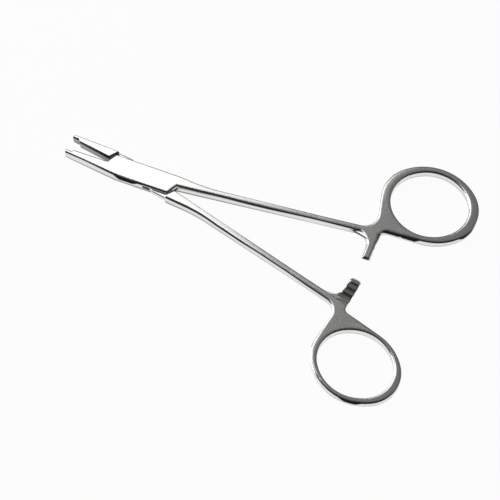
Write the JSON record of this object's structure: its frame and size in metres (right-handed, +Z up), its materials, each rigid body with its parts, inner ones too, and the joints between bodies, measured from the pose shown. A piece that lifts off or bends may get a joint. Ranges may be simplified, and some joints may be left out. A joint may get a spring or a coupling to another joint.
{
  "type": "dermal anchor forceps",
  "caption": "Box-lock ring-handled steel forceps with narrow notched jaws, slim shanks, a ratchet and oval finger rings.",
  "frame": {"origin": "on the pivot axis, at the underside of the box lock", "axes": "+X from the pivot to the finger rings along the middle line, +Y towards the ring of the half with the box, +Z up out of the face that the picture shows"},
  "size_m": [0.1394, 0.0921, 0.0051],
  "materials": {
    "forged_steel": "satin flat faces, polished edges and sides",
    "pin_steel": "ground flush and satin"
  },
  "bodies": {
    "box_half": {"female_half": "forged_steel", "pivot_pin": "pin_steel"},
    "tongue_half": {"male_half": "forged_steel"}
  },
  "joints": [
    {"name": "box_lock", "type": "hinge", "parent": "box_half", "child": "tongue_half", "pos_m": [0, 0, 0], "axis": [0, 0, -1], "range_deg": [-9, 18]}
  ]
}
